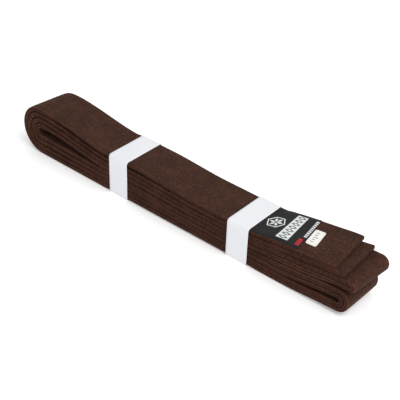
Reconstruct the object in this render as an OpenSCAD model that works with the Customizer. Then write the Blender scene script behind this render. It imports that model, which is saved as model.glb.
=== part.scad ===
// Martial arts belt, folded in half three times and held by two paper bands.
// Eight layers of one flat belt lie on each other: two cover cloths sewn round two core plies.
// +X runs along the bundle towards the two free tips, Y runs across the belt, +Z is up.
// The origin is the middle of the bundle's footprint, on the surface it lies on.

/* [Belt] */
// Width of the belt
belt_w = 40; // [36:0.5:45]
// Thickness of one cover cloth
cover_t = 0.65; // [0.5:0.05:0.7]
// Thickness of one core ply
core_t = 1.2; // [1:0.05:1.25]
// Thickness of a sewing thread lying on the cloth
thread_t = 0.08; // [0.06:0.01:0.1]
// Width of a sewing thread
thread_w = 0.6; // [0.4:0.1:1]
// Number of long rows of stitching
row_count = 8; // [4:1:10]
// Distance between the long rows
row_pitch = 4.6; // [3.5:0.1:5]

/* [Folded bundle] */
// Where the outer folds of the left end have their centre
left_x = -149.5; // [-152:0.5:-145]
// Where the double fold at the right end has its centre
fold_x = 160; // [158:0.5:162]
// Where the single loop above it has its centre
loop_x = 164.9; // [163:0.1:167]
// End of the upper tip, which carries the label
upper_tip_x = 151.5; // [146:0.5:154]
// End of the lower tip
lower_tip_x = 160; // [157:0.5:162]
// Layer spacing at the left end
pitch_left = 4.6; // [4.5:0.05:4.8]
// Layer spacing in the left band
pitch_mid = 4.527; // [4.4:0.01:4.55]
// Layer spacing in the right band
pitch_right = 4.149; // [4.12:0.01:4.3]
// Extra layer spacing just past the right band, where the layers loosen
loosening = 0.3; // [0.2:0.05:0.4]
// Height of the hollow in the left end's folds
left_hollow = 9.17; // [8:0.1:11]
// Height of the hollow in the double fold
fold_hollow = 4.2; // [3.5:0.1:5]
// Height of the hollow in the single loop
loop_hollow = 4.3; // [3.8:0.1:5]
// How far the single loop humps up at its end
loop_hump = 1.9; // [1.5:0.1:2]
// How far the lower tip rides up over that hump
lower_tip_lift = 1.5; // [1.4:0.1:1.8]
// How far the right end stands off the surface
end_lift = 1.6; // [0.5:0.1:2]

/* [Paper bands] */
// Width of a band
band_w = 20; // [15:1:25]
// Thickness of the paper
paper_t = 0.3; // [0.2:0.05:0.3]
// Gap between the paper and the belt
band_gap = 0.3; // [0.25:0.05:0.35]
// Left edge of the left band
left_band_x = -66; // [-70:1:-60]
// Left edge of the right band
right_band_x = 58; // [55:1:58]
// Length of each band's glued overlap
overlap = 12; // [8:1:15]

/* [Label and size patch] */
// Left edge of the label
label_x = 79; // [79:0.5:80]
// Length of the label along the belt
label_l = 39.5; // [35:0.5:40]
// Width of the label across the belt
label_w = 39; // [34:0.5:39]
// Thickness of the label
label_t = 0.35; // [0.25:0.05:0.5]
// Length of the size patch along the belt
patch_l = 9; // [7:0.5:12]
// Width of the size patch across the belt
patch_w = 17.5; // [14:0.5:20]
// Thickness of the size patch
patch_t = 0.3; // [0.25:0.05:0.4]

/* [Hidden] */

brown = [0.27, 0.17, 0.13];
thread_brown = [0.2, 0.12, 0.09];
cotton = [0.86, 0.82, 0.74];
white = [0.93, 0.93, 0.92];

half_t = cover_t + core_t;          // half of the belt's thickness
skin = half_t + thread_t;           // the same with the stitching on it
hinge_x = right_band_x + band_w + 0.5;  // where the upper tip leaves the right band
hinge_gap = 0.3;
row_end = 7;                        // the long rows stop this far short of a tip
cut_step = 0.5;                     // a tool reaches this far past the face that it cuts
fold_steps = 15;                    // straight facets round a fold of half a turn

// The places along X at which the bent layers have a point
stations = [left_x, for (x = [-141 : 9 : -78]) x, -72, -67, -34, -14, 6, 26, 78, 81,
            for (x = [86 : 6 : 158]) x, loop_x, loop_x + 10];

// 0 before a, 1 after b, and an even S between them
function smooth(a, b, x) =
    let (s = min(1, max(0, (x - a) / (b - a))))
    s * s * (3 - 2 * s);

// Spacing of the layers along the bundle
function pitch(x) =
    pitch_left
    - (pitch_left - pitch_mid) * smooth(-140, left_band_x, x)
    - (pitch_mid - pitch_right) * smooth(-34, 26, x)
    + loosening * (smooth(78, 94, x) - smooth(100, 135, x));

// Height of the belt's lowest face: raised where the bands pass under it, and at the right end
function floor_gap(x) =
    (paper_t + band_gap) * (smooth(-72, -67, x) - smooth(79, 84, x)) + end_lift * smooth(105, 155, x);

// The three hollows, which open towards the folds
function left_open(x) = left_hollow * (1 - pow(smooth(left_x, left_band_x, x), 1.15));
function fold_open(x) = fold_hollow * smooth(90, 146, x);
function loop_open(x) = loop_hollow * smooth(84, 146, x);

// Height of the middle of layer k, counted from 1 at the bottom to 8 at the top
function layer_z(k, x) =
    floor_gap(x) + skin + (k - 1) * pitch(x)
    + (k > 2 ? fold_open(x) : 0)
    + (k > 4 ? left_open(x) : 0)
    + (k > 5 ? loop_open(x) : 0)
    + (k == 6 ? loop_hump * smooth(150, loop_x, x) : 0)
    + (k == 7 ? lower_tip_lift * smooth(150, lower_tip_x, x) : 0);

// The same height on the straight facets between stations, so that all that lies on a layer fits it
function facet_z(k, x) =
    let (a = max([for (s = stations) if (s <= x) s]), b = min([for (s = stations) if (s > x) s]))
    layer_z(k, a) + (x - a) / (b - a) * (layer_z(k, b) - layer_z(k, a));

// One layer from x = a to x = b, either way
function run(k, a, b) =
    let (lo = min(a, b), hi = max(a, b),
         xs = concat([lo], [for (x = stations) if (x > lo + 0.1 && x < hi - 0.1) x], [hi]),
         n = len(xs) - 1)
    [for (i = [0 : n]) let (x = a < b ? xs[i] : xs[n - i]) [x, facet_z(k, x)]];

// The half turn from layer a to layer b, to the left (side -1) or the right (side 1)
function fold(a, b, x, side) =
    let (za = facet_z(a, x), zb = facet_z(b, x), mid = (za + zb) / 2, r = (za - zb) / 2)
    [for (i = [1 : fold_steps - 1])
        let (turn = 180 * i / fold_steps) [x + side * abs(r) * sin(turn), mid + r * cos(turn)]];

// The middle line of the upper tip, from its end to the hinge
function tip_path(trim = 0, past = 0) = run(8, upper_tip_x - trim, hinge_x - past);

// The middle line of the rest of the belt, from the hinge through its seven folds to the lower tip
function main_path(trim = 0, past = 0) = concat(
    run(8, hinge_x - hinge_gap + past, left_x), fold(8, 1, left_x, -1),
    run(1, left_x, fold_x), fold(1, 4, fold_x, 1),
    run(4, fold_x, left_x), fold(4, 5, left_x, -1),
    run(5, left_x, loop_x), fold(5, 6, loop_x, 1),
    run(6, loop_x, left_x), fold(6, 3, left_x, -1),
    run(3, left_x, fold_x), fold(3, 2, fold_x, 1),
    run(2, fold_x, left_x), fold(2, 7, left_x, -1),
    run(7, left_x, lower_tip_x - trim));

// Unit vector to the belt's label side at point i of a path
function face_dir(path, i) =
    let (d = path[min(len(path) - 1, i + 1)] - path[max(0, i - 1)])
    [d[1], -d[0]] / norm(d);

// Outline of a layer of cloth from height lo to height hi above a path
function cloth_outline(path, lo, hi) =
    let (n = len(path) - 1)
    concat([for (i = [0 : n]) path[i] + hi * face_dir(path, i)],
           [for (i = [n : -1 : 0]) path[i] + lo * face_dir(path, i)]);

module cloth(path, lo, hi, w, y = 0) {
    translate([0, y + w / 2, 0]) rotate([90, 0, 0]) linear_extrude(w)
        polygon(cloth_outline(path, lo, hi));
}

// A cover cloth on one side of the middle line, with its edges turned in round the core
module cover(path, core_path, side) {
    top = side * half_t;
    inside = side * core_t;
    past = -side * cut_step;
    color(brown) difference() {
        cloth(path, min(0, top), max(0, top), belt_w);
        cloth(core_path, min(past, inside), max(past, inside), belt_w - 2 * cover_t);
    }
}

module core(path, side) {
    color(cotton) cloth(path, min(0, side * core_t), max(0, side * core_t), belt_w - 2 * cover_t);
}

// The long rows of stitching on one side of the belt
module long_rows(path, side) {
    color(thread_brown)
        for (i = [0 : row_count - 1])
            cloth(path, min(side * half_t, side * skin), max(side * half_t, side * skin), thread_w,
                  (i - (row_count - 1) / 2) * row_pitch);
}

// Two rows of stitching across a tip, on both of its faces
module cross_rows(k, end_x) {
    row_l = belt_w - 4;
    color(thread_brown)
        for (inset = [2.5, 4.5], side = [-1, 1])
            cloth([[end_x - inset, facet_z(k, end_x - inset)],
                   [end_x - inset - thread_w, facet_z(k, end_x - inset - thread_w)]],
                  min(side * half_t, side * skin), max(side * half_t, side * skin), row_l);
}

module face_cover() { cover(main_path(), main_path(cover_t, cut_step), 1); }
module back_cover() { cover(main_path(), main_path(cover_t, cut_step), -1); }
module face_core() { core(main_path(cover_t), 1); }
module back_core() { core(main_path(cover_t), -1); }
module face_stitching() { long_rows(main_path(row_end), 1); }
module back_stitching() { long_rows(main_path(row_end), -1); }
module lower_tip_stitching() { cross_rows(7, lower_tip_x); }
module tip_face_cover() { cover(tip_path(), tip_path(cover_t, cut_step), 1); }
module tip_back_cover() { cover(tip_path(), tip_path(cover_t, cut_step), -1); }
module tip_face_core() { core(tip_path(cover_t), 1); }
module tip_back_core() { core(tip_path(cover_t), -1); }
module tip_face_stitching() { long_rows(tip_path(row_end), 1); }
module tip_back_stitching() { long_rows(tip_path(row_end), -1); }
module upper_tip_stitching() { cross_rows(8, upper_tip_x); }

// --- What is sewn on the upper tip ---

seat = skin + 0.04;                 // height of the label's underside above the middle line
label_top = seat + label_t;
patch_top = seat + patch_t;
relief = 0.1;                       // how far woven figures and thread stand out of a label
patch_x = label_x + label_l + 1.3;
patch_y = -1.25;
star_r = 7.8;
star_x = label_x + 9.3;
panel_x = label_x + 24;
panel_l = 9.5;
panel_w = 32;
line_x = label_x + 36;

// A strip on the tip's label side from x = a to x = b
module patch_strip(a, b, lo, hi, w, y = 0) {
    cloth(run(8, b, a), lo, hi, w, y);
}

// A flat figure laid on the label's face, centred on x
module figure(x, length) {
    intersection() {
        patch_strip(x - length / 2, x + length / 2, label_top, label_top + relief, label_w);
        translate([x, 0, 0]) linear_extrude(60) children();
    }
}

module lozenge(half_l, half_w) {
    polygon([[half_l, 0], [0, half_w], [-half_l, 0], [0, -half_w]]);
}

// A frame of thread along the edges of a sewn patch
module thread_frame(a, b, lo, w, inset, y = 0) {
    side_y = w / 2 - inset;
    color(thread_brown) {
        for (s = [-1, 1])
            patch_strip(a + inset, b - inset, lo, lo + relief, thread_w, y + s * side_y);
        for (x = [a + inset, b - inset - thread_w])
            patch_strip(x, x + thread_w, lo, lo + relief, 2 * side_y + thread_w, y);
    }
}

module label() {
    color([0.06, 0.06, 0.07]) patch_strip(label_x, label_x + label_l, seat, label_top, label_w);
}

// A six-sided star in a frame, the hemp-leaf pattern of woven cloth
module label_star() {
    color(white) figure(star_x, 2 * star_r + 1) {
        difference() {
            circle(star_r, $fn = 6);
            circle(star_r - 1, $fn = 6);
        }
        for (a = [0 : 60 : 300])
            rotate(a) translate([3.2, 0]) lozenge(2.6, 1.3);
    }
}

// A woven panel of nested lozenges
module label_panel() {
    cells = 7;
    cell = panel_w / cells;
    color(white) figure(panel_x, panel_l + 1) {
        difference() {
            square([panel_l, panel_w], center = true);
            for (i = [0 : cells - 1])
                translate([0, (i - (cells - 1) / 2) * cell]) lozenge(panel_l * 0.42, cell * 0.42);
        }
        for (i = [0 : cells - 1])
            translate([0, (i - (cells - 1) / 2) * cell]) lozenge(panel_l * 0.24, cell * 0.24);
    }
}

// A line of small lozenges beside the coloured block
module label_line() {
    count = 9;
    spacing = 2.4;
    color(white) figure(line_x, 4)
        for (i = [0 : count - 1])
            translate([0, -4.4 + i * spacing]) lozenge(1.2, 1);
}

module label_block() {
    color([0.75, 0.12, 0.12]) patch_strip(line_x - 2, line_x + 2, label_top, label_top + relief, 8, -12.4);
}

module label_stitching() {
    thread_frame(label_x, label_x + label_l, label_top, label_w, 0.5);
}

module size_patch() {
    color(white) patch_strip(patch_x, patch_x + patch_l, seat, patch_top, patch_w, patch_y);
}

// Plain measuring ticks
module size_patch_marks() {
    color([0.3, 0.3, 0.3])
        for (i = [-2 : 2])
            patch_strip(patch_x + 2.5, patch_x + (i == 0 ? 6.5 : 5), patch_top, patch_top + relief, 0.8,
                        patch_y + i * 2.6);
}

module size_patch_stitching() {
    thread_frame(patch_x, patch_x + patch_l, patch_top, patch_w, 0.4, patch_y);
}

// --- The paper bands ---

glue_t = 0.1;
band_side = belt_w / 2 + band_gap + paper_t / 2;    // from the mid-width to the paper's middle
corner_r = 0.9 + paper_t / 2;
seam_z = 20;                                        // the strip's inner end, on the far side
flap_y = band_side + paper_t + glue_t;              // where the outer end lies over it

// The highest point of the belt inside a band whose left edge is at x
function belt_top(x) = facet_z(8, x) + skin;

function band_corner(y, z, start) =
    [for (a = [0 : 15 : 90]) [y + corner_r * cos(start - a), z + corner_r * sin(start - a)]];

// The strip's middle line: down the far side, round the belt, and down over its own start
function band_line(x) =
    let (low = paper_t / 2 + corner_r,
         high = belt_top(x) + band_gap + paper_t / 2 - corner_r,
         inner = band_side - corner_r)
    concat([[band_side, seam_z]],
           band_corner(inner, low, 0),
           band_corner(-inner, low, -90),
           band_corner(-inner, high, 180),
           band_corner(flap_y - corner_r, high, 90),
           [[flap_y, seam_z - overlap]]);

module band(x) {
    color(white) translate([x, 0, 0]) rotate([90, 0, 90]) linear_extrude(band_w)
        polygon(cloth_outline(band_line(x), -paper_t / 2, paper_t / 2));
}

module band_glue(x) {
    inset = 1;
    color([0.95, 0.93, 0.85])
        translate([x + inset, band_side + paper_t / 2, seam_z - overlap + inset])
            cube([band_w - 2 * inset, glue_t, overlap - 2 * inset]);
}

module left_band() { band(left_band_x); }
module left_band_glue() { band_glue(left_band_x); }
module right_band() { band(right_band_x); }
module right_band_glue() { band_glue(right_band_x); }

face_cover();
back_cover();
face_core();
back_core();
face_stitching();
back_stitching();
lower_tip_stitching();
tip_face_cover();
tip_back_cover();
tip_face_core();
tip_back_core();
tip_face_stitching();
tip_back_stitching();
upper_tip_stitching();
label();
label_star();
label_panel();
label_line();
label_block();
label_stitching();
size_patch();
size_patch_marks();
size_patch_stitching();
left_band();
left_band_glue();
right_band();
right_band_glue();
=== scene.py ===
# %% [markdown]
# # A folded martial arts belt
#
# A long flat cotton belt, folded in half three times into eight layers and held by two white paper bands. A
# woven label and a small size patch are sewn on its upper tip. It is made as one strip that follows its own
# folded line, because every nose, hollow and step of the real bundle comes from one strip turning back on
# itself.

# %% The frame
import math

import bmesh
import bpy
import numpy as np
from mathutils import Matrix, Vector


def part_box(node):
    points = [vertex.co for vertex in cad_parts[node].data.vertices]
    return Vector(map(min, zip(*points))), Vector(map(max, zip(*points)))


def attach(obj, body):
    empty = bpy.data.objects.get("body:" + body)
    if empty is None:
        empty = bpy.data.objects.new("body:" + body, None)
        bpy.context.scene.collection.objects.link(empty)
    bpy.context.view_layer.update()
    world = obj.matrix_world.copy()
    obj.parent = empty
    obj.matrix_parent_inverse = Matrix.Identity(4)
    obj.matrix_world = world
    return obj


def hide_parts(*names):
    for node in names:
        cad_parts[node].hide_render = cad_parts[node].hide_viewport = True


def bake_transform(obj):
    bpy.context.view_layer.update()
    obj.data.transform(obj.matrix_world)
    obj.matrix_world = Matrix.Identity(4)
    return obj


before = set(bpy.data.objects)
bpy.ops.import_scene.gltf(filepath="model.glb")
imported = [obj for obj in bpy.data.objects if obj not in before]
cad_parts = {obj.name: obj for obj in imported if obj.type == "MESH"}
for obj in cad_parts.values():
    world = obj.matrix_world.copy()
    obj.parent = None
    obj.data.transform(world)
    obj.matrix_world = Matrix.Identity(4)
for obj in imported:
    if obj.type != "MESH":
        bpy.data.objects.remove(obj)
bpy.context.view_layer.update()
MM = 0.001
scene = bpy.context.scene


def add_object(name, data):
    """A new object in the scene."""
    obj = bpy.data.objects.new(name, data)
    scene.collection.objects.link(obj)
    return obj


# %% [markdown]
# ## Camera
#
# The camera stands in front of the belt's right end and looks down on it. It is placed by azimuth, elevation,
# roll and distance from a point on the belt. A long lens keeps the far fold from shrinking too much.

# %% Camera
LOOK_AT = Vector((14.2, 0, 19.4)) * MM
AZIMUTH, ELEVATION, ROLL = (math.radians(a) for a in (39.36, 35.27, 2.17))
DISTANCE = 756 * MM
LENS = 86.2

back = Vector((math.sin(AZIMUTH) * math.cos(ELEVATION),
               -math.cos(AZIMUTH) * math.cos(ELEVATION),
               math.sin(ELEVATION)))
right = Vector((math.cos(AZIMUTH), math.sin(AZIMUTH), 0))
up = back.cross(right)
rolled_right = math.cos(ROLL) * right + math.sin(ROLL) * up
rolled_up = -math.sin(ROLL) * right + math.cos(ROLL) * up

camera_data = bpy.data.cameras.new("camera")
camera_data.lens = LENS
camera_data.sensor_width = 36
camera_data.clip_start = 0.01
camera = add_object("camera", camera_data)
axes = Matrix((rolled_right, rolled_up, back)).transposed().to_4x4()
camera.matrix_world = Matrix.Translation(LOOK_AT + back * DISTANCE) @ axes
scene.camera = camera
print("camera at", tuple(round(c, 3) for c in camera.location))

# %% [markdown]
# ## The folded line
#
# Seen from the side, the belt is one line that runs to and fro eight times. Layers are counted from 1 at the
# bottom to 8 at the top. Each layer's height is a rule: how thick the layers below it are at that place, plus
# the hollows that open towards the folds. Hand-drawn curves would cut into each other somewhere; with the
# rule they can't.
#
# At the right end the near edge is packed tight and the far edge gapes. So the rule takes a number "far", 0
# on the near edge and 1 on the far edge, and the surface is spread between the two.

# %% Rule for the layers' heights
SKIN = 1.93 * MM  # half the strip's thickness, with its stitching
LEFT_X = -149.5 * MM  # where the runs end and the left folds begin
FOLD_X, LOOP_X = 157.6 * MM, 164.9 * MM  # the same for the two right folds and for the big right loop
UPPER_TIP_X, LOWER_TIP_X = 151.5 * MM, 160 * MM
LEFT_BAND_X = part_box("left_band")[0].x


def smooth(a, b, x):
    """0 before a, 1 after b, and an even S between them."""
    s = np.clip((np.asarray(x, float) - a) / (b - a), 0, 1)
    return s * s * (3 - 2 * s)


def steps(x, *parts):
    """A sum of soft steps, each (height, start, end) in mm."""
    return MM * sum(height * smooth(start * MM, end * MM, x) for height, start, end in parts)


def pitch(x):
    """Spacing of the layers: wide at the folded end, tight in the bands, looser just past the right one."""
    tighter = (-0.073, -140, LEFT_BAND_X / MM), (-0.378, -34, 26)
    return 4.6 * MM + steps(x, *tighter, (0.3, 78, 94), (-0.3, 100, 135))


def floor_gap(x, far):
    """Height of the lowest face: raised over the bands, and lifting a little at the right end."""
    return steps(x, (0.6, -72, -67), (-0.6, 79, 84), (2.8 - 1.2 * far, 105, 165))


# how the near edge's slack is shared out over the layers
SPREAD = {4: 0.2, 5: 0.9, 6: 0.95, 7: 1.0, 8: 1.0}
# hollows at the right end: the layers raised, from and to, by how much on the near and on the far edge, and
# the x from and to which the hollow opens, all in mm
HOLLOWS = [(3, 8, 3.2, 0, 98, 160), (3, 8, 0, 4.4, 84, 140), (6, 8, 0, 4.4, 84, 140),
           (6, 7, 0, 2.0, 148, 162), (8, 8, 0, 1.4, 130, 152)]
LEFT_HOLLOW, LEFT_LESS_FAR = 6.2 * MM, 0.6 * MM  # in the left fold, between layers 4 and 5
LEFT_SPREAD = 3.0 * MM  # the top layer's extra height there, shared by those below


def slack(k, x, far):
    """How much higher layer k lies on the near edge because the layers from 3 to 8 are loose there."""
    return (1 - far) * SPREAD.get(k, 0) * steps(x, (3.0, 84, 118))


def layer_z(k, x, far=0.5):
    """Height of the middle of layer k."""
    z = floor_gap(x, far) + SKIN + (k - 1) * pitch(x) + slack(k, x, far)
    for lowest, highest, near_lift, far_lift, start, end in HOLLOWS:
        if lowest <= k <= highest:
            z = z + steps(x, (near_lift * (1 - far) + far_lift * far, start, end))
    hump = 1 - smooth(LEFT_X, LEFT_BAND_X, x) ** 1.15
    if k > 4:
        z = z + (LEFT_HOLLOW - LEFT_LESS_FAR * far) * hump
    return z + (k - 1) / 7 * LEFT_SPREAD * hump


print("stack height in the left band %.1f mm, in the right band %.1f mm"
      % tuple((float(layer_z(8, x) + SKIN) / MM) for x in (-0.056, 0.068)))

# %% [markdown]
# Real layers never close up perfectly. Each pair has its own crevice, which opens and closes slowly along the
# bundle, and the eye reads the belt's edge by those dark lines. So each layer has two half thicknesses, one
# towards each neighbour.

# %% Crevices between the layers
CREVICE = {1: 0.32, 2: 0.50, 3: 0.34, 4: 0.60, 5: 0.38, 6: 0.70, 7: 0.48}  # mm, above layer 1, 2, ...
TIGHT = 0.12  # the least crevice anywhere
GAPE, TOP_GAPE = 0.62, 1.4  # how much wider they are left of the left band, and the top one near that band
CROWN = {1: 0.5, 8: 1.0}  # how much of the full droop a layer's edges have on the label side
INNER_CROWN = 0.2  # the same for the layers that aren't in this list


def crevice(k, x):
    """Width of the gap between layer k and the one above it."""
    loose = smooth(LEFT_X - 20 * MM, LEFT_X + 20 * MM, x) * (1 - 0.5 * smooth(0.125, 0.150, x))
    wave = 1 + 0.45 * np.sin(x * 61 + 2.1 * k) + 0.35 * np.sin(x * 23 + 1.3 * k * k)
    gape = GAPE * smooth(LEFT_X - 20 * MM, LEFT_X + 30 * MM, x) * (1 - smooth(-0.105, LEFT_BAND_X, x))
    if k == 7:
        gape = gape + TOP_GAPE * smooth(-0.138, -0.115, x) * (1 - smooth(-0.045, 0.006, x))
    return MM * (TIGHT + loose * CREVICE[k] * np.clip(wave, 0.1, 2) + gape)


def puff(k, x, far):
    """How much of the slack above layer k both layers swell to fill. It ends before the folds."""
    return (slack(k + 1, x, far) - slack(k, x, far)) * (1 - smooth(0.138, 0.154, x))


TOP_FLAT = 0.125 * MM  # how much thinner the top layer's upper half is left of the right band
FLOOR_SIDE = 1.9 * MM  # half thickness of the lowest layer towards the floor


def half_up(k, x, far):
    """From the middle of layer k to its upper face."""
    if k == 8:
        return pitch(x) / 2 - TOP_FLAT * (1 - smooth(-0.034, 0.026, x))
    return (pitch(x) + puff(k, x, far) - crevice(k, x)) / 2


def half_down(k, x, far):
    """From the middle of layer k to its lower face."""
    if k == 1:
        return np.full(np.shape(x), FLOOR_SIDE)
    return (pitch(x) + puff(k - 1, x, far) - crevice(k - 1, x)) / 2


# %% [markdown]
# A run is one layer from one end to the other, and a fold is a half turn between two layers. Both give rows
# of x, z, the half thickness on the label side and on the plain side, the layer, and the droop of its edges.

# %% Runs and folds
STEP = 5.5 * MM  # length of cloth between two stations
FOLD_STEPS = 22
LEFT_SKEW = 3 * MM  # how far the far edge's left folds sit to the right of the near edge's
LOOP_REACH = 2.3 * MM  # how far the big loop reaches past its own end
ROUNDNESS = 0.92  # 1 for a round fold, less for a blunter one


def run(k, a, b, far):
    """Layer k from x = a to x = b, either way."""
    x = np.linspace(a, b, max(3, round(abs(b - a) / STEP)) + 1)
    up_side, down_side = half_up(k, x, far), half_down(k, x, far)
    face, plain = (down_side, up_side) if b > a else (up_side, down_side)
    same, z = np.ones(len(x)), layer_z(k, x, far)
    x = x + LEFT_SKEW * far * (1 - smooth(LEFT_X, LEFT_X + 30 * MM, x))
    if k in (5, 6):
        x = x + LOOP_REACH * smooth(0.150, LOOP_X, x)
    return np.column_stack([x, z, face, plain, k * same, CROWN.get(k, INNER_CROWN) * same])


def fold(before, after, side):
    """A half turn from one run's end to the next one's start, bulging to the left (-1) or right (1)."""
    (x, za), zb = before[-1, :2], after[0, 1]
    t = np.linspace(0, 1, FOLD_STEPS + 1)[1:-1]
    middle, r = (za + zb) / 2, (za - zb) / 2
    rows = before[-1] + t[:, None] * (after[0] - before[-1])
    rows[:, 0] = x + side * abs(r) * np.sin(math.pi * t) ** ROUNDNESS
    rows[:, 1] = middle + r * np.cos(math.pi * t)
    return rows


def fold_line(start_x, end_x, far):
    """One edge of the whole belt, from start_x on its top layer to end_x on layer 7."""
    ends = [(8, start_x, LEFT_X), (1, LEFT_X, FOLD_X), (4, FOLD_X, LEFT_X), (5, LEFT_X, LOOP_X),
            (6, LOOP_X, LEFT_X), (3, LEFT_X, FOLD_X), (2, FOLD_X, LEFT_X), (7, LEFT_X, end_x)]
    runs = [run(*e, far) for e in ends]
    rows = [runs[0]]
    for i in range(1, len(runs)):
        rows += [fold(runs[i - 1], runs[i], -1 if i % 2 else 1), runs[i]]
    return np.vstack(rows)


# %% [markdown]
# The surface is spread between a near line and a far line. Cloth is never quite straight, so the belt also
# drifts a little sideways, and the end of the upper tip is cut a little askew. The class below keeps all of
# that together and answers one question: where is a point of the cloth in the world?

# %% Finding a point on the belt
HALF_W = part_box("face_cover")[1].y
EDGE_START = 0.8  # share of the half width at which the droop starts
DROOP = 0.5 * MM
TIP_LEAN = 0.05  # how askew the end of the upper tip is, as a slope


def droop(y):
    """How far the edge of a layer with a full crown droops at y."""
    return DROOP * np.clip((np.abs(y) / HALF_W - EDGE_START) / (1 - EDGE_START), 0, 1) ** 2


def lengths_along(x, z):
    """Length along a line of points, from the first point to each."""
    return np.concatenate([[0], np.cumsum(np.hypot(np.diff(x), np.diff(z)))])


def edge_shape(rows):
    """Along one edge: x, z, the two half thicknesses, and the direction out of the label side."""
    x, z, face, plain = rows.T[:4]
    s = lengths_along(x, z)
    dx, dz = np.gradient(x, s), np.gradient(z, s)
    length = np.hypot(dx, dz)
    return np.array([x, z, face, plain, dz / length, -dx / length])


class Line:
    """A stretch of the belt between its near and its far edge. s is the length along its middle."""

    def __init__(self, near, far, start=0.0):
        self.x, z, _, _, layer, self.crown = ((near + far) / 2).T
        self.s = start + lengths_along(self.x, z)
        self.near, self.far = edge_shape(near), edge_shape(far)
        self.drift = MM * (0.14 * np.sin(self.s * 9.1 + 0.6) + 0.10 * np.sin(self.s * 31 + 2.0))
        self.lean = TIP_LEAN * smooth(0.110, 0.151, self.x) * (layer > 7.5)

    def shape(self, s, y):
        """x, z, the half thicknesses and the outward direction at length s and y across the belt."""
        share = (np.asarray(y) / HALF_W + 1) / 2
        return [(1 - share) * np.interp(s, self.s, near) + share * np.interp(s, self.s, far)
                for near, far in zip(self.near, self.far)]

    def half(self, s, y, side):
        """Half thickness on the label side (1) or the plain side (-1)."""
        return self.shape(s, y)[2 if side > 0 else 3]

    def point(self, s, y, height):
        """World points at length s, y across the belt and height above its middle."""
        y = y + 0 * height
        x, z, _, _, nx, nz = self.shape(s, y)
        drift, lean = np.interp(s, self.s, self.drift), np.interp(s, self.s, self.lean)
        return np.stack([x + height * nx - lean * y, y + drift, z + height * nz], axis=-1)

    def on_cloth(self, s, y, height, side=1):
        """World points on one side of the belt, at a height above the cloth."""
        sunk = droop(y) * np.interp(s, self.s, self.crown) if side > 0 else 0
        return self.point(s, y, side * (self.half(s, y, side) + height - sunk))

    def outward(self, s, y, side):
        """Unit vectors away from the cloth."""
        nx, nz = self.shape(s, y)[4:]
        return np.stack([side * nx, 0 * nx, side * nz], axis=-1)


SPLIT_X = 68 * MM  # the tip's own mesh starts here, hidden under the right band
tip_line = Line(*[run(8, UPPER_TIP_X, SPLIT_X, far) for far in (0, 1)])
main_line = Line(*[fold_line(SPLIT_X, LOWER_TIP_X, far) for far in (0, 1)], start=tip_line.s[-1])

# %% [markdown]
# ## Cross-section of a cover cloth
#
# The belt is two cover cloths round a core. Each cloth is turned in at the edge, so every edge shows two soft
# ridges with a seam between them, and the long rows of stitching leave eight shallow valleys on both faces.
# One ring of points holds all of that, outside and inside, and both cloths are swept from it.

# %% The ring of points
CORE_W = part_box("face_core")[1].y - 0.25 * MM
CORE_T = 1.2 * MM
ROW_PITCH, ROW_COUNT = 4.6 * MM, 8
ROWS = [(i - (ROW_COUNT - 1) / 2) * ROW_PITCH for i in range(ROW_COUNT)]
VALLEY = 0.11 * MM
# the turned edge, from the seam up: mm in from the edge, and share of the cloth's half thickness
EDGE = [(1.6, 0.0), (0.35, 0.13), (0.0, 0.42), (0.1, 0.66), (0.5, 0.88), (1.15, 1.0)]
# across a row of stitching: mm from its middle, and share of the valley; then the swell between rows
DIP = [(-1.2, 0.0), (-0.45, 0.7), (0.0, 1.0), (0.45, 0.7), (1.2, 0.0)]
SWELL = -0.25


def flat_side():
    """Points across the flat of the cloth: (y, depth), with a valley at each row."""
    points = []
    for y in ROWS:
        points += [(y + offset * MM, depth) for offset, depth in DIP] + [(y + ROW_PITCH / 2, SWELL)]
    return points[:-1]


outside = [(-HALF_W + inset * MM, f, 0.0) for inset, f in EDGE]
outside += [(y, 1.0, dip) for y, dip in flat_side()]
outside += [(HALF_W - inset * MM, f, 0.0) for inset, f in EDGE[::-1]]
inside = [(y * (CORE_W + 0.05 * MM), f, 0.0) for y, f in ((1, 0), (1, 1), (0, 1), (-1, 1), (-1, 0))]
ring_y, ring_f, ring_dip = np.array(outside + inside).T
ring_inside = np.arange(len(ring_y)) >= len(outside)
# lighter on the edge ridges as rubbed wear; zero in the seam groove between them, so the groove stays darker
# as painted shade
ring_wear_and_shade = (1 - smooth(0.2 * MM, 1.6 * MM, HALF_W - np.abs(ring_y))) * smooth(0.1, 0.5, ring_f)
ring_wear_and_shade[ring_inside] = 0
print("ring of", len(ring_y), "points")

# %% Sweeping a ring into a mesh
SHARP = math.radians(65)  # an edge that turns by more than this is a cut edge and isn't shaded smooth


def mesh_object(name, points, faces, uvs, wear_and_shade=None):
    """A smooth mesh object with faces pointing outwards and a uv pair for every face corner."""
    mesh = bpy.data.meshes.new(name)
    mesh.from_pydata([tuple(p) for p in points], [], faces)
    mesh.uv_layers.new(name="UVMap").data.foreach_set("uv", np.asarray(uvs, np.float32).ravel())
    # per point: the edge ridges' rubbed wear and the seam groove's painted shade
    if wear_and_shade is not None:
        wear_and_shade_layer = mesh.attributes.new("wear_and_shade", "FLOAT", "POINT")
        wear_and_shade_layer.data.foreach_set("value", np.asarray(wear_and_shade, np.float32))
    work = bmesh.new()
    work.from_mesh(mesh)
    bmesh.ops.recalc_face_normals(work, faces=work.faces)
    for edge in work.edges:
        edge.smooth = edge.calc_face_angle(0) < SHARP
    work.to_mesh(mesh)
    work.free()
    mesh.polygons.foreach_set("use_smooth", [True] * len(mesh.polygons))
    return add_object(name, mesh)


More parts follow.
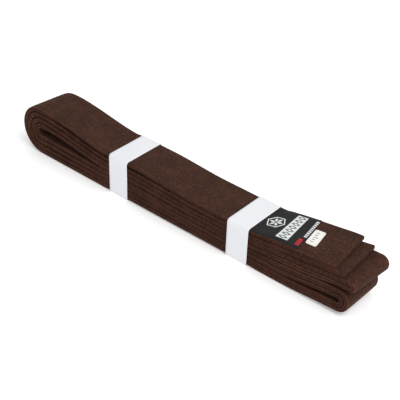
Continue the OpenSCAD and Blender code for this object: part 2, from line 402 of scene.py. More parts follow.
def loft(name, rings, s, across, wear_and_shade=None):
    """A closed solid through rings of points. s is the length along it, across that round a ring."""
    count, n = len(rings), len(rings[0])
    points = np.concatenate(rings)
    faces, uvs = [], []
    for i in range(count - 1):
        for j in range(n):
            k = (j + 1) % n
            faces.append((i * n + j, i * n + k, (i + 1) * n + k, (i + 1) * n + j))
            v0, v1 = across[j], across[j + 1]
            uvs += [(s[i], v0), (s[i], v1), (s[i + 1], v1), (s[i + 1], v0)]
    for i in (0, count - 1):
        faces.append(tuple(i * n + j for j in range(n)))
        uvs += [(s[i] + points[i * n + j][2], points[i * n + j][1]) for j in range(n)]
    return mesh_object(name, points, faces, uvs, None if wear_and_shade is None else np.tile(wear_and_shade, count))


def round_length(y, height):
    """Length round a ring of points, from its first point back to it."""
    return lengths_along(np.append(y, y[0]), np.append(height, height[0]))


def cover_ring(line, s, side, shrink=0.0, hollow=1.0):
    """The ring at length s. shrink pulls it in for a rounded end; hollow is how open its inside is."""
    height = ring_f * line.half(s, ring_y, side) * (1 - 0.45 * shrink) - VALLEY * ring_dip * (1 - shrink)
    if side > 0:
        height = height - ring_f * droop(ring_y) * np.interp(s, line.s, line.crown)
    height = np.where(ring_inside, hollow * ring_f * (CORE_T + 0.03 * MM), height)
    return line.point(s, ring_y * (1 - 0.02 * shrink), side * height)


CLOSING = ((1.1, 1), (0.9, 0), (0, 0))  # mm before the tip, and how open the inside is there
ROUNDING = ((0.35, 0.35), (0.6, 0.75), (0.7, 1.0))  # mm past the tip, and how far the ring is pulled in


def cover_cloth(name, line, side, tip_first):
    """One cover cloth as a solid. It closes and rounds off at its tip, its first or last station."""
    tip, inward = (line.s[0], 1) if tip_first else (line.s[-1], -1)
    out = cover_ring(line, tip, side, hollow=0) - cover_ring(line, tip + inward * MM, side, hollow=0)
    body = [(s, cover_ring(line, s, side)) for s in line.s if abs(s - tip) > 1.2 * MM]
    close = [(tip + inward * d * MM, cover_ring(line, tip + inward * d * MM, side, hollow=h))
             for d, h in CLOSING]
    close += [(tip - inward * d * MM, cover_ring(line, tip, side, k, 0) + out * d) for d, k in ROUNDING]
    stations = close[::-1] + body if tip_first else body + close
    lengths, rings = zip(*stations)
    height = np.where(ring_inside, CORE_T, ring_f * 2 * MM)
    return loft(name, rings, lengths, round_length(ring_y, height), ring_wear_and_shade)


cover_face = cover_cloth("cover_face", main_line, 1, tip_first=False)
cover_plain = cover_cloth("cover_plain", main_line, -1, tip_first=False)
tip_cover_face = cover_cloth("tip_cover_face", tip_line, 1, tip_first=True)
tip_cover_plain = cover_cloth("tip_cover_plain", tip_line, -1, tip_first=True)
print("faces of a cover cloth:", len(cover_face.data.polygons), "and", len(tip_cover_face.data.polygons))

# %% [markdown]
# ## Core plies
#
# Inside the covers lie two plain cotton plies, made from the same line with a smaller, plain ring.

# %% Core plies
END_MARGIN = 1.5 * MM  # the plies stop this far short of a tip


def core_ply(name, line, side, trim_start, trim_end):
    """A flat ply on one side of the middle line."""
    first, last = line.s[0] + trim_start, line.s[-1] - trim_end
    stations = [first] + [s for s in line.s if first + MM < s < last - MM] + [last]
    y = np.array([-1, 0, 1, 1, 0, -1]) * CORE_W
    height = np.array([0.04, 0.04, 0.04, 1, 1, 1]) * side * CORE_T
    return loft(name, [line.point(s, y, height) for s in stations], stations, round_length(y, height))


core_face = core_ply("core_face", main_line, 1, 0, END_MARGIN)
core_plain = core_ply("core_plain", main_line, -1, 0, END_MARGIN)
tip_core_face = core_ply("tip_core_face", tip_line, 1, END_MARGIN, 0)
tip_core_plain = core_ply("tip_core_plain", tip_line, -1, END_MARGIN, 0)
print("faces of a core ply:", len(core_face.data.polygons), "and", len(tip_core_face.data.polygons))

# %% [markdown]
# ## What is sewn on the tip
#
# The label, its woven figures and the size patch are drawn flat, as polygons seen from above, cut into small
# cells and laid on the cloth, so they bend where the belt bends. A shrinkwrap would sink them into the
# stitching valleys, and a real woven label bridges those.

# %% Laying flat shapes on the tip
ASKEW = 0.13  # slope of the label's far end and of the patch


def span(name):
    """Lowest x, highest x, lowest y and highest y of a CAD node."""
    low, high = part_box(name)
    return low.x, high.x, low.y, high.y


LABEL_X = span("label")[:2]


def length_at(x):
    """The length along the tip's line at x."""
    return np.interp(x, tip_line.x[::-1], tip_line.s[::-1])


def on_tip(x, y, height):
    """World points on the upper tip's label side. The label and the patch are sewn on a little askew."""
    askew = ASKEW * y * smooth(LABEL_X[0], LABEL_X[1], x)
    return tip_line.on_cloth(length_at(x - askew), y, height)


def cut_cells(polygons, cell):
    """The polygons welded and cut along x and y into cells: points, faces and outer edges."""
    work = bmesh.new()
    for polygon in polygons:
        work.faces.new([work.verts.new((x, y, 0)) for x, y in polygon])
    bmesh.ops.remove_doubles(work, verts=work.verts, dist=0.01 * MM)
    corners = np.array([v.co for v in work.verts])
    for axis in (0, 1):
        low, high = corners[:, axis].min(), corners[:, axis].max()
        for value in np.arange(low + cell, high - cell / 3, cell):
            normal = Vector((1 - axis, axis, 0))
            geometry = work.verts[:] + work.edges[:] + work.faces[:]
            bmesh.ops.bisect_plane(work, geom=geometry, dist=0.001 * MM,
                                   plane_co=value * normal, plane_no=normal)
    work.verts.index_update()
    points = np.array([v.co.xy for v in work.verts])
    faces = [[v.index for v in f.verts] for f in work.faces]
    rims = [[v.index for v in e.verts] for e in work.edges if len(e.link_faces) == 1]
    work.free()
    return points, faces, rims


def sewn_piece(name, polygons, low, high, cell=2 * MM, rim=0.55):
    """A thin solid on the tip's face. Its rim is pressed down to a share of its thickness."""
    points, faces, rims = cut_cells(polygons, cell)
    n = len(points)
    x, y = points.T
    top = np.full(n, high)
    top[sorted({i for pair in rims for i in pair})] = low + rim * (high - low)
    solid = np.vstack([on_tip(x, y, top), on_tip(x, y, np.full(n, low))])
    all_faces = faces + [[i + n for i in f[::-1]] for f in faces]
    all_faces += [[a, b, b + n, a + n] for a, b in rims]
    uvs = [points[i % n] for f in all_faces for i in f]
    return mesh_object(name, solid, all_faces, uvs)


# %% [markdown]
# ## Label and size patch
#
# The label's figures are a six-sided star, a panel of nested lozenges, a line of small blocks and a red
# block. They stand a thread's thickness proud of the ground, as extra weft does on a damask label.

# %% Outlines of the figures
CORNER_PARTS = 4


def rectangle(x0, x1, y0, y1, corner=0.0):
    """A rectangle, with round corners if corner is given."""
    if not corner:
        return [(x0, y0), (x1, y0), (x1, y1), (x0, y1)]
    centres = [(x1 - corner, y0 + corner), (x1 - corner, y1 - corner),
               (x0 + corner, y1 - corner), (x0 + corner, y0 + corner)]
    outline = []
    for quarter, (x, y) in enumerate(centres):
        for i in range(CORNER_PARTS + 1):
            a = math.pi / 2 * (quarter - 1 + i / CORNER_PARTS)
            outline.append((x + corner * math.cos(a), y + corner * math.sin(a)))
    return outline


def lozenge(x, y, half_l, half_w, turn=0.0):
    """Four points round (x, y), with half_l along the direction turn."""
    c, s = math.cos(turn), math.sin(turn)
    flat = [(half_l, 0), (0, half_w), (-half_l, 0), (0, -half_w)]
    return [(x + a * c - b * s, y + a * s + b * c) for a, b in flat]


FRAME, RAY_AT, RAY_L, RAY_W = 0.87, 0.41, 0.34, 0.165  # shares of a star's radius
HOLE_L, HOLE_W, LEFT_IN = 0.84, 0.42, 0.48 / 0.84  # shares of a cell, and of its hole
PANEL_CELLS = 7


def star(x, y, r):
    """A hexagon frame, and six lozenges pointing to its corners."""
    turns = [(math.cos(i * math.pi / 3), math.sin(i * math.pi / 3)) for i in range(7)]
    outer, inner = ([(x + size * r * c, y + size * r * s) for c, s in turns] for size in (1, FRAME))
    sides = [[outer[i], outer[i + 1], inner[i + 1], inner[i]] for i in range(6)]
    rays = [lozenge(x + RAY_AT * r * c, y + RAY_AT * r * s, RAY_L * r, RAY_W * r, math.atan2(s, c))
            for c, s in turns[:6]]
    return sides + rays


def lozenge_panel(x0, x1, y0, y1):
    """A row of cells, each with a lozenge cut out of it and a smaller one left inside."""
    shapes, middle, half, cell = [], (x0 + x1) / 2, (x1 - x0) / 2, (y1 - y0) / PANEL_CELLS
    for i in range(PANEL_CELLS):
        y = y0 + (i + 0.5) * cell
        hole = lozenge(middle, y, HOLE_L * half, HOLE_W * cell)
        low, high = y - cell / 2, y + cell / 2
        corners = [(x1, low), (x1, high), (x0, high), (x0, low)]
        for j in range(4):
            after = (j + 1) % 4
            shapes += [[hole[j], corners[after], hole[after]], [corners[j], corners[after], hole[j]]]
        shapes.append(lozenge(middle, y, LEFT_IN * HOLE_L * half, LEFT_IN * HOLE_W * cell))
    return shapes


# %% Sewn pieces
LABEL_T, PATCH_T, WOVEN_T = 0.35 * MM, 0.3 * MM, 0.07 * MM
WOVEN_CELL = 1.5 * MM
BLOCK_STEP, BLOCK_W = 2.2 * MM, 1.5 * MM
TICK_STEP, TICK_HALF = 2.6 * MM, 0.35 * MM
star_span, line_span, tick_span = span("label_star"), span("label_line"), span("size_patch_marks")
star_r = (star_span[1] - star_span[0]) / 2
line_x, block = (line_span[0] + line_span[1]) / 2, span("label_block")
tick_y = (tick_span[2] + tick_span[3]) / 2
small_blocks = [rectangle(line_x + 0.6 * MM, line_x + 3.1 * MM, y, y + BLOCK_W)
                for y in np.arange(line_span[2], line_span[3] - MM, BLOCK_STEP)]
figures = {
    "label_star": star(star_span[0] + star_r, 0, star_r),
    "label_panel": lozenge_panel(*span("label_panel")),
    "label_line": small_blocks,
    "label_block": [rectangle(block[0] + 1.2 * MM, block[1] + 0.6 * MM, block[2], block[3])],
}
ticks = []
for i in range(-2, 3):
    y, short = tick_y + i * TICK_STEP, 0 if i == 0 else 1.5 * MM
    ticks.append(rectangle(tick_span[0], tick_span[1] - short, y - TICK_HALF, y + TICK_HALF))


def ground(name, node_name, corner, thickness):
    """The cloth of the label or the patch, pressed a little into the belt."""
    return sewn_piece(name, [rectangle(*span(node_name), corner)], -0.02 * MM, thickness)


def figure(name, shapes, under):
    """A woven figure on a ground with the thickness under."""
    return sewn_piece(name, shapes, under - 0.03 * MM, under + WOVEN_T, WOVEN_CELL, rim=0.8)


label = ground("label_cloth", "label", 0.8 * MM, LABEL_T)
woven = {name: figure(name + "_woven", shapes, LABEL_T) for name, shapes in figures.items()}
patch = ground("size_patch_cloth", "size_patch", 1.2 * MM, PATCH_T)
patch_ticks = figure("size_patch_ticks", ticks, PATCH_T)
print("sewn pieces: label, size patch,", ", ".join(woven))

# %% [markdown]
# ## Paper bands
#
# Each band is a strip of smooth paper, glued to its own start on the far side. It is made the way it is
# wrapped: a line round the bundle with rounded corners, and a thin ring swept along it. A box with a hole in
# it would have no overlap, and its corners would be too sharp for paper.

# %% Paper strips
PAPER_T = 0.3 * MM
TOP_CORNER, LOW_CORNER = 2.35 * MM, 1.1 * MM
SEAM_Z = 20 * MM
CORNER_STEPS, ACROSS_STEPS = 8, 11
LONGEST = 2.5 * MM  # the longest step along the strip
WAVE = 0.035 * MM  # how uneven the paper is


def wrap_line(node):
    """The strip's middle line in y and z, from its start on the far side round to its flap."""
    low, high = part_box(node)
    side, top, bottom = -low.y - PAPER_T / 2, high.z - PAPER_T / 2, low.z + PAPER_T / 2
    flap, flap_end = high.y - PAPER_T / 2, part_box(node + "_glue")[0].z - MM
    corners = [(side, bottom, LOW_CORNER, 0), (-side, bottom, LOW_CORNER, -90),
               (-side, top, TOP_CORNER, 180), (flap, top, TOP_CORNER, 90)]
    line = [(side, SEAM_Z)]
    for y, z, r, start in corners:
        centre_y, centre_z = y - math.copysign(r, y), z - math.copysign(r, z - SEAM_Z)
        for i in range(CORNER_STEPS + 1):
            a = math.radians(start - 90 * i / CORNER_STEPS)
            line.append((centre_y + r * math.cos(a), centre_z + r * math.sin(a)))
    line.append((flap, flap_end))
    dense = [line[0]]
    for a, b in zip(line, line[1:]):
        parts = max(1, round(math.dist(a, b) / LONGEST))
        dense += [np.array(a) + (np.array(b) - a) * i / parts for i in range(1, parts + 1)]
    return np.array(dense)


def paper_strip(name, node):
    """The strip as a solid: its edges are a little rounded and its flat stretches a little uneven."""
    low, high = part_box(node)
    y, z = wrap_line(node).T
    s = lengths_along(y, z)
    dy, dz = np.gradient(y, s), np.gradient(z, s)
    out_y, out_z = -dz / np.hypot(dy, dz), dy / np.hypot(dy, dz)
    across = np.linspace(low.x + 0.1 * MM, high.x - 0.1 * MM, ACROSS_STEPS)
    x = np.concatenate([[low.x], across, [high.x], across[::-1]])
    flat = np.full(ACROSS_STEPS, 0.5)
    height = np.concatenate([[0], flat, [0], -flat]) * PAPER_T
    rings = []
    for i in range(len(s)):
        wavy = height + WAVE * np.sin(s[i] * 240 + x * 170)
        rings.append(np.stack([x, y[i] + wavy * out_y[i], z[i] + wavy * out_z[i]], axis=-1))
    return loft(name, rings, s, round_length(x, height))


left_strip = paper_strip("left_paper_strip", "left_band")
right_strip = paper_strip("right_paper_strip", "right_band")
print("paper strips:", len(left_strip.data.polygons), "and", len(right_strip.data.polygons), "faces")

# %% [markdown]
# ## Finishes
#
# Every finish has a weave or fibre pattern for the bump, and slow and fine noise for the dye. Woven patterns
# follow each piece's own UV map, in metres along and across the cloth, so the threads bend with the folds.
# Paper, glue and thread read Object coordinates.

# %% Helpers for finishes


def finish(name, roughness, gloss=0.5, sheen=(0.0, 0.5), sockets=None):
    """A material with one surface shader. sheen is its weight and its roughness."""
    material = bpy.data.materials.new(name)
    material.use_nodes = True
    values = {"Roughness": roughness, "Specular IOR Level": gloss, "Sheen Weight": sheen[0],
              "Sheen Roughness": sheen[1], **(sockets or {})}
    for socket, value in values.items():
        material.node_tree.nodes["Principled BSDF"].inputs[socket].default_value = value
    return material


def plug(material, output, socket):
    """Links an output to one of the surface shader's sockets."""
    surface = material.node_tree.nodes["Principled BSDF"]
    material.node_tree.links.new(output, surface.inputs[socket])


def node(owner, kind, inputs=None, **settings):
    """A node in a material or a node tree. An input is a value or another node's output."""
    tree = getattr(owner, "node_tree", owner)
    made = tree.nodes.new(kind)
    for key, value in settings.items():
        setattr(made, key, value)
    for key, value in (inputs or {}).items():
        if isinstance(value, bpy.types.NodeSocket):
            tree.links.new(value, made.inputs[key])
        else:
            made.inputs[key].default_value = value
    return made


def add_up(material, shares, start=0.0):
    """start plus each pattern times its share."""
    total = start
    for pattern, share in shares:
        inputs = {0: pattern, 1: share, 2: total}
        total = node(material, "ShaderNodeMath", inputs, operation="MULTIPLY_ADD").outputs[0]
    return total


def colour(material, factor, *colours, first=0.3):
    """The surface's colour from a factor, through a ramp with even stops from first to 1 - first."""
    ramp = node(material, "ShaderNodeValToRGB", {"Fac": factor})
    elements = ramp.color_ramp.elements
    for i, value in enumerate(colours):
        position = first + i * (1 - 2 * first) / (len(colours) - 1)
        element = elements[i] if i < len(elements) else elements.new(position)
        element.position = position
        element.color = (*value, 1)
    plug(material, ramp.outputs["Color"], "Base Color")


def bump(material, height, depth, strength=1.0):
    """Raises the surface by height, up to depth in metres."""
    made = node(material, "ShaderNodeBump", {"Height": height, "Distance": depth, "Strength": strength})
    plug(material, made.outputs["Normal"], "Normal")


def cloth_map(material):
    return node(material, "ShaderNodeUVMap", uv_map="UVMap").outputs["UV"]


def place(material):
    return node(material, "ShaderNodeTexCoord").outputs["Object"]


def noise(material, vector, grain, detail=2.0):
    """Noise with blotches of about grain metres."""
    inputs = {"Vector": vector, "Scale": 1 / grain, "Detail": detail}
    return node(material, "ShaderNodeTexNoise", inputs).outputs["Fac"]


def threads(material, vector, spacing, direction, waver=1.0):
    """Parallel threads, spacing metres apart, as a soft wave."""
    turns = 10 if direction == "DIAGONAL" else 20
    inputs = {"Vector": vector, "Scale": 2 * math.pi / (turns * spacing), "Distortion": waver,
              "Detail": 1.0, "Detail Scale": 1.5}
    return node(material, "ShaderNodeTexWave", inputs, bands_direction=direction).outputs["Fac"]


# %% [markdown]
# The brown cloth is a fine cotton twill: diagonal ribs under a millimetre apart, dyed a little unevenly, with
# lint that catches the light at a low angle, which is what sheen is for. Where the edge is turned, the ridges
# are a little lighter and redder as rubbed wear, and the seam groove between them is kept darker as painted
# shade, through the attribute that the ring of points carries.

# %% Brown twill


def brown_twill():
    material = finish("brown twill", 0.95, 0.12, (0.05, 0.5), {"Sheen Tint": (0.9, 0.5, 0.36, 1)})
    cloth, where = cloth_map(material), place(material)
    ribs = threads(material, cloth, 0.85 * MM, "DIAGONAL")
    yarn = noise(material, cloth, 0.5 * MM)
    slubs = noise(material, cloth, 2.2 * MM, 4)
    dye = noise(material, where, 11 * MM, 3)
    # this attribute lightens the edge ridges as rubbed wear and leaves the seam groove darker as painted
    # shade
    wear_and_shade = node(material, "ShaderNodeAttribute", attribute_name="wear_and_shade").outputs["Fac"]
    shares = [(dye, 1.1), (slubs, 2.0), (yarn, 1.2), (ribs, 0.1), (wear_and_shade, 0.25)]
    browns = (0.029, 0.014, 0.0094), (0.0475, 0.0198, 0.0127), (0.079, 0.03, 0.0184)
    colour(material, add_up(material, shares, -1.75), *browns, first=0.1)
    bump(material, add_up(material, [(ribs, 0.6), (yarn, 0.5), (slubs, 0.5)]), 0.14 * MM, 0.8)
    return material


# %% Threads, raw cotton, glue and paper


def sewing_thread(name, dark, light):
    """Sewing thread: fine fibres, and dye that changes slowly."""
    material = finish(name, 0.8, 0.15, (0.02, 0.5))
    where = place(material)
    fibre = noise(material, where, 0.35 * MM)
    drift = noise(material, where, 9 * MM)
    colour(material, add_up(material, [(fibre, 0.6), (drift, 0.4)]), dark, light)
    bump(material, fibre, 0.05 * MM)
    return material


def raw_cotton():
    material = finish("raw cotton", 0.95, sheen=(0.2, 0.6))
    cloth = cloth_map(material)
    weave = add_up(material, [(threads(material, cloth, 0.9 * MM, axis), 0.5) for axis in "XY"])
    neps = noise(material, cloth, 1.8 * MM, 3)
    tone = add_up(material, [(weave, 0.3), (neps, 0.7)])
    colour(material, tone, (0.58, 0.50, 0.39), (0.74, 0.68, 0.57))
    bump(material, weave, 0.15 * MM, 0.8)
    return material


def dried_glue():
    material = finish("dried glue", 0.35)
    lumps = noise(material, place(material), 1.5 * MM, 3)
    colour(material, lumps, (0.74, 0.71, 0.60), (0.84, 0.82, 0.74))
    bump(material, lumps, 0.06 * MM, 0.6)
    return material


def banding_paper():
    """Smooth white paper with a faint cloud of fibres."""
    material = finish("banding paper", 0.5, 0.4, (0.05, 0.5))
    where = place(material)
    fibres = noise(material, where, 0.6 * MM, 4)
    cloud = noise(material, where, 14 * MM, 3)
    tone = add_up(material, [(fibres, 0.4), (cloud, 0.6)])
    colour(material, tone, (0.74, 0.755, 0.79), (0.79, 0.80, 0.83))
    bump(material, add_up(material, [(fibres, 0.3), (cloud, 0.7)]), 0.05 * MM, 0.5)
    return material


# %% [markdown]
# The label and the size patch are woven much finer than the belt, and their figures are a satin of the same
# threads. So one function makes all of them from a spacing and two colours.

# %% Woven tape


def woven_tape(name, dark, light, spacing=0.34 * MM, gloss=0.35):
    material = finish(name, 0.6, gloss, (0.02, 0.4))
    cloth = cloth_map(material)
    weft = threads(material, cloth, spacing, "X", 0.6)
    warp = threads(material, cloth, 1.3 * spacing, "Y", 0.6)
    fuzz = noise(material, cloth, 0.7 * MM, 3)
    tone = add_up(material, [(weft, 0.3), (warp, 0.15), (fuzz, 0.55)])
    colour(material, tone, dark, light)
    bump(material, add_up(material, [(weft, 0.7), (warp, 0.3)]), 0.07 * MM, 0.8)
    return material


# %% The set of finishes
twill = brown_twill()
belt_thread = sewing_thread("brown thread", (0.034, 0.016, 0.0105), (0.06, 0.0265, 0.0165))
black_thread = sewing_thread("black thread", (0.008, 0.008, 0.009), (0.018, 0.018, 0.019))
cream_thread = sewing_thread("cream thread", (0.62, 0.59, 0.52), (0.76, 0.73, 0.67))
cotton, glue, paper = raw_cotton(), dried_glue(), banding_paper()
black_damask = woven_tape("black damask", (0.0085, 0.0095, 0.009), (0.021, 0.023, 0.0215), gloss=0.12)
white_weft = woven_tape("white weft", (0.62, 0.64, 0.65), (0.80, 0.82, 0.83))
red_weft = woven_tape("red weft", (0.3, 0.016, 0.02), (0.46, 0.03, 0.036), gloss=0.15)
cream_tape = woven_tape("cream tape", (0.80, 0.79, 0.74), (0.90, 0.89, 0.85), spacing=0.45 * MM)
grey_weft = woven_tape("grey weft", (0.11, 0.11, 0.11), (0.24, 0.24, 0.24))
print("finishes:", len(bpy.data.materials))

# %% Putting the finishes on
covers = (cover_face, cover_plain, tip_cover_face, tip_cover_plain)
plies = (core_face, core_plain, tip_core_face, tip_core_plain)
for pieces, material in ((covers, twill), (plies, cotton), ((label,), black_damask), ((patch,), cream_tape),
                         ((patch_ticks,), grey_weft), ((left_strip, right_strip), paper)):
    for piece in pieces:
        piece.data.materials.append(material)
for name, piece in woven.items():
    piece.data.materials.append(red_weft if name == "label_block" else white_weft)
for name in ("left_band_glue", "right_band_glue"):
    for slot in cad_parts[name].material_slots:
        slot.material = glue

# %% [markdown]
# ## Stitching with Geometry Nodes
#
# A seam is a line with the same small stitch on it over and over, so one node tree makes them all. It
# resamples the line at the stitch length, puts a small stitch on every point, turns it along the line and
# keeps it flat on the cloth with the seam's own "up" attribute. A tiny seeded turn keeps the stitches from
# looking printed.

# %% The stitch tree
STITCH_FACES = 18  # one stitch is a small ball of 6 segments and 3 rings, stretched


def add_inputs(tree):
    """The tree's named inputs and its one output."""
    for name, kind, value in (("Seam", "Geometry", None), ("Stitch length", "Float", 3.4 * MM),
                              ("Thread length", "Float", 2.9 * MM), ("Thread width", "Float", 0.42 * MM),
                              ("Thread height", "Float", 0.3 * MM), ("Unevenness", "Float", 0.06),
                              ("Seed", "Int", 7), ("Thread", "Material", None)):
        socket = tree.interface.new_socket(name, in_out="INPUT", socket_type="NodeSocket" + kind)
        if value is not None:
            socket.default_value = value
    tree.interface.new_socket("Stitches", in_out="OUTPUT", socket_type="NodeSocketGeometry")


def stitch_tree():
    tree = bpy.data.node_groups.new("Seam stitches", "GeometryNodeTree")
    add_inputs(tree)
    given = node(tree, "NodeGroupInput").outputs

    # the seam as a curve with a point for every stitch
    curve = node(tree, "GeometryNodeMeshToCurve", {"Mesh": given["Seam"]}).outputs["Curve"]
    inputs = {"Curve": curve, "Length": given["Stitch length"]}
    even = node(tree, "GeometryNodeResampleCurve", inputs, mode="LENGTH").outputs["Curve"]

    # one stitch, lying along Z with its flat side towards X
    inputs = {"Segments": 6, "Rings": 3, "Radius": 0.5}
    ball = node(tree, "GeometryNodeMeshUVSphere", inputs).outputs["Mesh"]
    inputs = {"X": given["Thread height"], "Y": given["Thread width"], "Z": given["Thread length"]}
    size = node(tree, "ShaderNodeCombineXYZ", inputs).outputs["Vector"]
    stitch = node(tree, "GeometryNodeTransform", {"Geometry": ball, "Scale": size}).outputs["Geometry"]

    # its direction: along the seam, then flat on the cloth
    tangent = node(tree, "GeometryNodeInputTangent").outputs["Tangent"]
    upward = node(tree, "GeometryNodeInputNamedAttribute", {"Name": "up"}, data_type="FLOAT_VECTOR")
    along = node(tree, "FunctionNodeAlignRotationToVector", {"Vector": tangent}, axis="Z")
    inputs = {"Rotation": along.outputs["Rotation"], "Vector": upward.outputs["Attribute"]}
    flat = node(tree, "FunctionNodeAlignRotationToVector", inputs, axis="X", pivot_axis="Z")

    # a small turn of its own
    least = node(tree, "ShaderNodeMath", {0: given["Unevenness"], 1: -1}, operation="MULTIPLY")
    inputs = {"Min": least.outputs["Value"], "Max": given["Unevenness"], "Seed": given["Seed"]}
    uneven = node(tree, "FunctionNodeRandomValue", inputs, data_type="FLOAT_VECTOR")
    inputs = {"Rotation": flat.outputs["Rotation"], "Rotate By": uneven.outputs["Value"]}
    turned = node(tree, "FunctionNodeRotateRotation", inputs, rotation_space="LOCAL").outputs["Rotation"]

    # a stitch on every point, as real faces with the thread's finish
    inputs = {"Points": even, "Instance": stitch, "Rotation": turned}
    placed = node(tree, "GeometryNodeInstanceOnPoints", inputs).outputs["Instances"]
    real = node(tree, "GeometryNodeRealizeInstances", {"Geometry": placed}).outputs["Geometry"]
    inputs = {"Geometry": real, "Material": given["Thread"]}
    painted = node(tree, "GeometryNodeSetMaterial", inputs).outputs["Geometry"]
    node(tree, "NodeGroupOutput", {"Stitches": painted})
    return tree


stitches = stitch_tree()
socket_id = {item.name: item.identifier for item in stitches.interface.items_tree}
print("stitch tree sockets:", ", ".join(socket_id))

# %% Sewing a set of seams
THREAD_SHARE = 0.86  # how much of a stitch's length its thread shows


def sew(name, seams, thread, length=3.4 * MM, width=0.42 * MM, height=0.3 * MM, seed=7):
    """Runs the stitch tree over seams, each (points, up vectors), and keeps the stitches as one mesh."""
    points, ups, edges = [], [], []
    for seam_points, seam_ups in seams:
        first = len(points)
        points += [tuple(p) for p in seam_points]
        ups += [tuple(u) for u in seam_ups]
        edges += [(i, i + 1) for i in range(first, len(points) - 1)]
    mesh = bpy.data.meshes.new(name + "_seam")
    mesh.from_pydata(points, edges, [])
    up_layer = mesh.attributes.new("up", "FLOAT_VECTOR", "POINT")
    up_layer.data.foreach_set("vector", np.array(ups, np.float32).ravel())
    seam = add_object(name + "_seam", mesh)
    modifier = seam.modifiers.new("Stitches", "NODES")
    modifier.node_group = stitches
    for socket, value in (("Stitch length", length), ("Thread length", THREAD_SHARE * length),
                          ("Thread width", width), ("Thread height", height), ("Seed", seed),
                          ("Thread", thread)):
        modifier[socket_id[socket]] = value
    sewn = bpy.data.meshes.new_from_object(seam.evaluated_get(bpy.context.evaluated_depsgraph_get()))
    sewn.name = name
    sewn.polygons.foreach_set("use_smooth", [True] * len(sewn.polygons))
    bpy.data.objects.remove(seam)
    print("sewed", name, "with", len(sewn.polygons) // STITCH_FACES, "stitches")
    return add_object(name, sewn)


# %% [markdown]
# ## The seams
#
# Eight long rows run along both faces and stop a little short of the tips, where two rows go across. The
# label and the size patch are sewn down along their edges with shorter stitches.

# %% Long rows and cross rows
ROW_END = 7 * MM
CROSS_ROWS = (2.5 * MM, 4.5 * MM)
CROSS_HALF = 17.5 * MM
SET_IN = -0.02 * MM  # height of a thread's middle above the cloth under it


def long_seams(line, side, trim_start, trim_end):
    """The long rows on one side of the belt."""
    s = line.s[(line.s >= line.s[0] + trim_start) & (line.s <= line.s[-1] - trim_end)]
    return [(line.on_cloth(s, y, SET_IN - VALLEY, side), line.outward(s, y, side)) for y in ROWS]


def cross_seams(line, tip, inward):
    """The rows across a tip, on both of its sides."""
    y = np.linspace(-CROSS_HALF, CROSS_HALF, 12)
    lengths = [np.full(len(y), tip + inward * inset) for inset in CROSS_ROWS]
    return [(line.on_cloth(s, y, SET_IN, side), line.outward(s, y, side))
            for s in lengths for side in (1, -1)]


rows_face = sew("long_rows_face", long_seams(main_line, 1, 0, ROW_END), belt_thread)
rows_plain = sew("long_rows_plain", long_seams(main_line, -1, 0, ROW_END), belt_thread, seed=8)
tip_rows_face = sew("tip_rows_face", long_seams(tip_line, 1, ROW_END, 0), belt_thread, seed=9)
tip_rows_plain = sew("tip_rows_plain", long_seams(tip_line, -1, ROW_END, 0), belt_thread, seed=10)
lower_cross = sew("lower_tip_rows", cross_seams(main_line, main_line.s[-1], -1), belt_thread, seed=11)
upper_cross = sew("upper_tip_rows", cross_seams(tip_line, tip_line.s[0], 1), belt_thread, seed=12)

# %% Seams of the label and the size patch


def border_seams(x0, x1, y0, y1, inset, height):
    """Four seams along the edges of a sewn piece."""
    x0, x1, y0, y1 = x0 + inset, x1 - inset, y0 + inset, y1 - inset
    seams = []
    for ax, ay, bx, by in ((x0, y0, x1, y0), (x1, y0, x1, y1), (x1, y1, x0, y1), (x0, y1, x0, y0)):
        t = np.linspace(0, 1, 24)
        x, y = ax + (bx - ax) * t, ay + (by - ay) * t
        seams.append((on_tip(x, y, height), tip_line.outward(length_at(x), y, 1)))
    return seams


label_sewing = sew("label_sewing", border_seams(*span("label"), 0.9 * MM, LABEL_T), black_thread,
                   length=2.2 * MM, width=0.3 * MM, height=0.2 * MM, seed=13)
patch_sewing = sew("size_patch_sewing", border_seams(*span("size_patch"), 0.8 * MM, PATCH_T), cream_thread,
                   length=1.8 * MM, width=0.26 * MM, height=0.16 * MM, seed=14)

# %% [markdown]
# ## Floor and light
#
# The belt lies on a light table in a light tent: white all round, and a white floor that glows a little,
# which leaves only a thin shadow under the belt. One large soft lamp stands above the right end. The Standard
# view is used, because a filmic one would grey the whites.

# %% Floor and light
scene.view_settings.view_transform = "Standard"

floor_mesh = bpy.data.meshes.new("floor")
reach, floor_z = 30.0, -0.1 * MM
corners = [(x * reach, y * reach, floor_z) for x, y in ((-1, -1), (1, -1), (1, 1), (-1, 1))]
floor_mesh.from_pydata(corners, [], [(0, 1, 2, 3)])
floor = add_object("floor", floor_mesh)
glow = {"Emission Color": (1, 1, 1, 1), "Emission Strength": 0.2}
table = finish("light table", 0.9, 0.0, sockets={"Base Color": (0.96, 0.96, 0.96, 1), **glow})
floor_mesh.materials.append(table)

world = bpy.data.worlds.new("light tent")
world.use_nodes = True
world.node_tree.nodes["Background"].inputs["Color"].default_value = (1, 1, 1, 1)
world.node_tree.nodes["Background"].inputs["Strength"].default_value = 0.76
scene.world = world

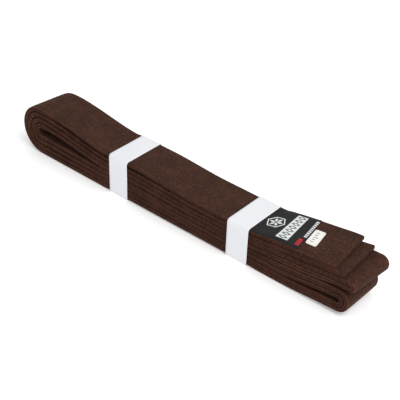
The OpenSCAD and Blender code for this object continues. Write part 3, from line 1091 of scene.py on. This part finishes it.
lamp_data = bpy.data.lights.new("soft lamp", "AREA")
lamp_data.shape = "DISK"
lamp_data.size = 1.2
lamp_data.energy = 12
lamp = add_object("soft lamp", lamp_data)
lamp.location = (0.9, -0.15, 1.3)
lamp.rotation_euler = (-lamp.location).to_track_quat("-Z", "Y").to_euler()
print("floor, light tent and one lamp")

# %% [markdown]
# ## Bodies
#
# The bodies are the folded belt and the two bands. The strip's main part rides on the folded belt and each
# band on its own body. Everything on the tip crosses the hinge beside the right band; its transform is baked
# into its meshes, and it is put on no body.

belt_pieces = [(cover_face, "cover", "face_cover"), (cover_plain, "cover", "back_cover"),
               (core_face, "core", "face_core"), (core_plain, "core", "back_core"),
               (rows_face, "belt_thread", "face_stitching"), (rows_plain, "belt_thread", "back_stitching"),
               (lower_cross, "belt_thread", "lower_tip_stitching")]
tip_pieces = [(tip_cover_face, "cover", "tip_face_cover"), (tip_cover_plain, "cover", "tip_back_cover"),
              (tip_core_face, "core", "tip_face_core"), (tip_core_plain, "core", "tip_back_core"),
              (tip_rows_face, "belt_thread", "tip_face_stitching"),
              (tip_rows_plain, "belt_thread", "tip_back_stitching"),
              (upper_cross, "belt_thread", "upper_tip_stitching"),
              (label, "label_ground", "label"), (label_sewing, "label_thread", "label_stitching"),
              *((woven[name], "label_weft", name) for name in ("label_star", "label_panel", "label_line")),
              (woven["label_block"], "label_red", "label_block"),
              (patch, "patch_ground", "size_patch"), (patch_ticks, "patch_mark", "size_patch_marks"),
              (patch_sewing, "patch_thread", "size_patch_stitching")]
band_pieces = [(left_strip, "band_paper", "left_band"), (right_strip, "band_paper", "right_band")]

for piece, slot, node_name in belt_pieces + tip_pieces + band_pieces:
    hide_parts(node_name)
for piece, _, _ in belt_pieces:
    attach(piece, "folded_belt")
for piece, _, _ in tip_pieces:
    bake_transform(piece)
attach(left_strip, "left_paper_band")
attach(right_strip, "right_paper_band")
print("pieces:", len(belt_pieces + tip_pieces + band_pieces))
